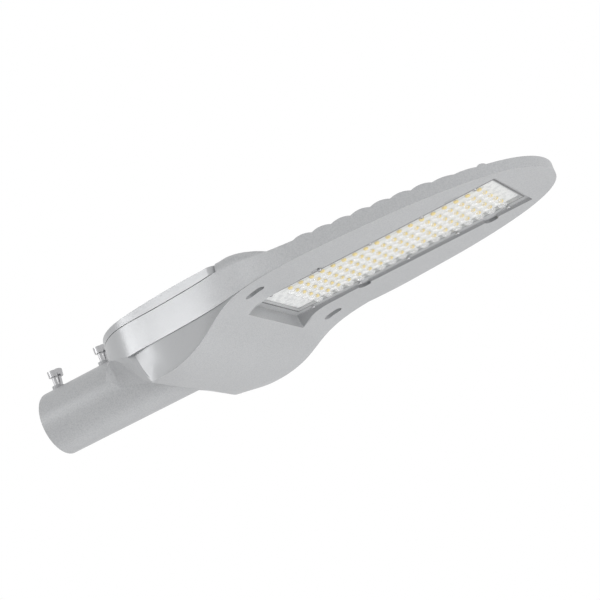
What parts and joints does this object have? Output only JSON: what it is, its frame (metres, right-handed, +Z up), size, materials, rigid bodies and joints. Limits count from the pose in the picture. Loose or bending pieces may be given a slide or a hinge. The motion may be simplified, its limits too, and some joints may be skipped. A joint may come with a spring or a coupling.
{
  "type": "led street light head",
  "caption": "cast street light head with its own spigot, a driver compartment under a screwed cover and an LED module behind a one-piece lens",
  "frame": {"origin": "centre of the spigot's open mouth, on the spigot's axis", "axes": "+X runs along the spigot towards the blade's tip, +Z up, light leaves towards -Z, +Y to the left seen from the spigot"},
  "size_m": [0.592, 0.2272, 0.0993],
  "materials": {
    "housing": "light silver-grey powder coat on die-cast aluminium, fine grain",
    "top_cover": "light silver-grey powder coat",
    "cover_gasket": "black silicone",
    "cover_screws": "stainless",
    "outer_set_screws": "stainless",
    "inner_set_screws": "stainless",
    "thermal_pad": "grey silicone sheet",
    "led_board": "white solder mask",
    "board_connector": "white moulding",
    "lens_gasket": "black silicone",
    "lens_panel": "clear moulded optic",
    "lens_screws": "stainless",
    "led_chips": "yellow phosphor",
    "gear_tray": "plain sheet",
    "driver": "light grey case",
    "driver_screws": "stainless",
    "terminal_block": "pale grey moulding",
    "surge_protector": "dark moulding",
    "earth_screw": "plain",
    "cable_gland": "black nylon",
    "lead_grommet": "black rubber",
    "output_lead": "black jacket",
    "supply_leads": "brown and blue insulation shown as one colour"
  },
  "bodies": {
    "root": {"housing": "housing", "top_cover": "top_cover", "cover_gasket": "cover_gasket", "cover_screws": "cover_screws", "outer_set_screws": "outer_set_screws", "inner_set_screws": "inner_set_screws", "thermal_pad": "thermal_pad", "led_board": "led_board", "board_connector": "board_connector", "lens_gasket": "lens_gasket", "lens_panel": "lens_panel", "lens_screws": "lens_screws", "led_chips": "led_chips", "gear_tray": "gear_tray", "driver": "driver", "driver_screws": "driver_screws", "terminal_block": "terminal_block", "surge_protector": "surge_protector", "earth_screw": "earth_screw", "cable_gland": "cable_gland", "lead_grommet": "lead_grommet", "output_lead": "output_lead", "supply_leads": "supply_leads"}
  },
  "joints": []
}
